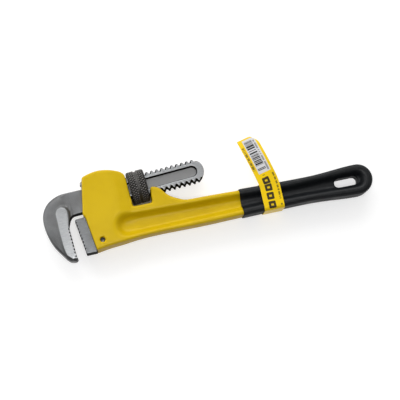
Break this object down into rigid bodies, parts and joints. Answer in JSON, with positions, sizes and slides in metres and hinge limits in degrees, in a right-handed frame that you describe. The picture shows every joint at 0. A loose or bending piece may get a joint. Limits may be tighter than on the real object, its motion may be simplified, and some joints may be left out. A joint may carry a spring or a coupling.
{
  "type": "pipe wrench",
  "caption": "Straight pipe wrench with a floating toothed hook jaw, knurled adjusting nut, replaceable heel jaw and a dipped vinyl grip.",
  "frame": {"origin": "centre of the bounding box's base, under the wrench as it lies on its side", "axes": "+X along the handle, from the hook jaw towards the grip; +Y from the jaws' mouth towards the adjusting nut's side; +Z through the wrench's thickness, up when it lies on its side"},
  "size_m": [0.3187, 0.0858, 0.0322],
  "materials": {
    "body_paint": "glossy yellow enamel over ductile iron",
    "forged_steel": "sand-blasted forged alloy steel",
    "heel_steel": "ground and hardened alloy steel",
    "pin_steel": "dark spring steel",
    "spring_steel": "spring steel",
    "blackened_steel": "blackened knurled steel",
    "grip_vinyl": "black plastisol dip",
    "label_film": "printed vinyl film"
  },
  "bodies": {
    "frame": {"handle_casting": "body_paint", "heel_jaw": "heel_steel", "heel_jaw_pin": "pin_steel", "flat_spring": "spring_steel", "spring_rivet": "spring_steel", "grip": "grip_vinyl", "label": "label_film"},
    "spring_carrier": {"coil_spring": "spring_steel"},
    "nut": {"adjusting_nut": "blackened_steel"},
    "hook": {"hook_jaw": "forged_steel"}
  },
  "joints": [
    {"name": "jaw_rock", "type": "hinge", "parent": "frame", "child": "spring_carrier", "pos_m": [-0.0649, 0.0165, 0.0161], "axis": [0, 0, 1], "range_deg": [0, 2.5], "stiffness_Nm_per_rad": 8, "springref_deg": -2.86, "deforming": ["coil_spring"]},
    {"name": "nut_spin", "type": "hinge", "parent": "spring_carrier", "child": "nut", "pos_m": [-0.0649, 0.0165, 0.0161], "axis": [0.9976, 0.0698, 0], "range_deg": [-180, 3600]},
    {"name": "jaw_slide", "type": "slide", "parent": "spring_carrier", "child": "hook", "axis": [-0.9976, -0.0698, 0], "range_m": [-0.0025, 0.05]}
  ],
  "couplings": [
    {"joint": "nut_spin", "follows": "jaw_slide", "rad_per_m": 1256.6}
  ]
}
